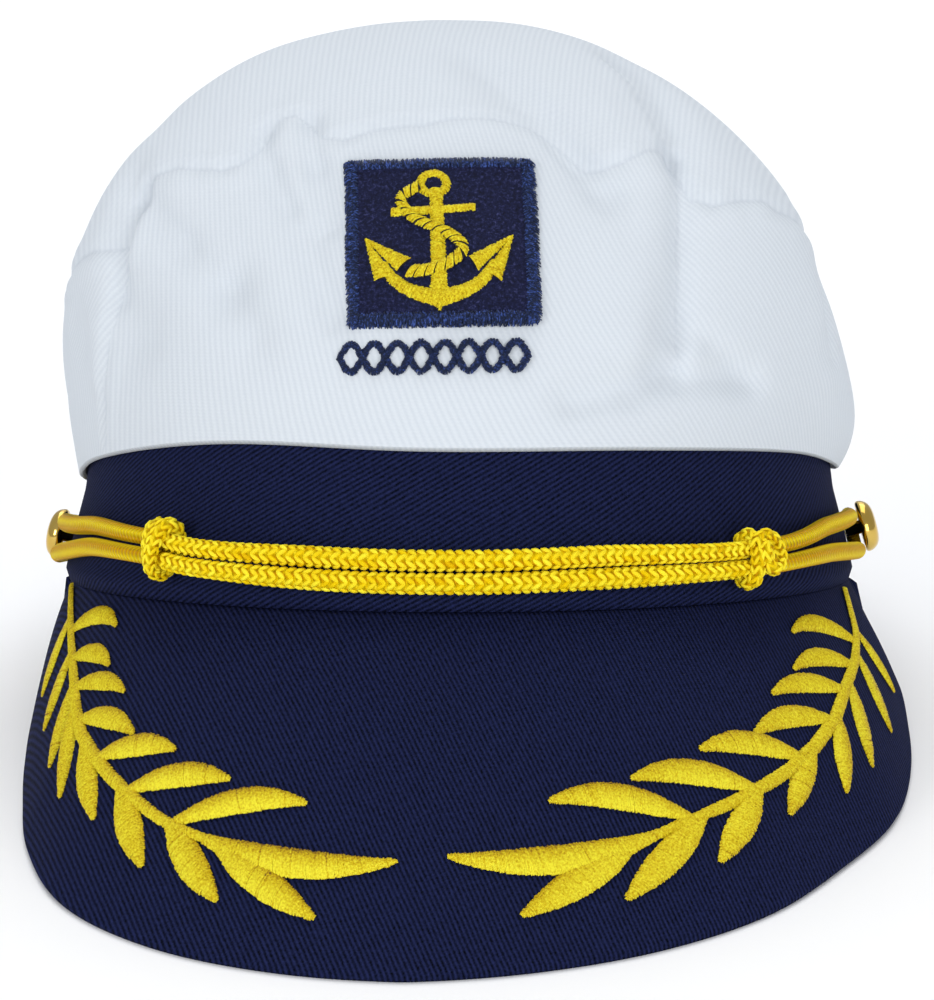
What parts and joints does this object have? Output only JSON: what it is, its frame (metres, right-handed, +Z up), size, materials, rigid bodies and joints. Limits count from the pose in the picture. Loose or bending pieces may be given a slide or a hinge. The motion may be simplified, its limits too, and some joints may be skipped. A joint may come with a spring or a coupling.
{
  "type": "captain hat",
  "caption": "Soft white captain hat with a navy band and sloping peak, a gold chin cord between two buttons, a stitched anchor badge and laurel sprays.",
  "frame": {"origin": "centre of the hat's outline on the surface it rests on", "axes": "+Z up, -Y towards the front of the peak, +X to the wearer's left"},
  "size_m": [0.192, 0.2608, 0.1469],
  "materials": {
    "white_cotton": "matte cotton twill",
    "navy_twill": "matte ribbed twill",
    "navy_felt": "matte felt",
    "navy_thread": "satin-stitched thread",
    "gold_thread": "satin-stitched thread",
    "gold_cord": "knitted cord",
    "gold_metal": "polished"
  },
  "bodies": {
    "root": {"crown": "white_cotton", "band": "navy_twill", "peak": "navy_twill", "laurel_left": "gold_thread", "laurel_right": "gold_thread", "badge_patch": "navy_felt", "badge_anchor": "gold_thread", "wave_braid": "navy_thread", "chin_cord": "gold_cord", "cord_knot_left": "gold_cord", "cord_knot_right": "gold_cord", "button_left": "gold_metal", "button_right": "gold_metal"}
  },
  "joints": []
}
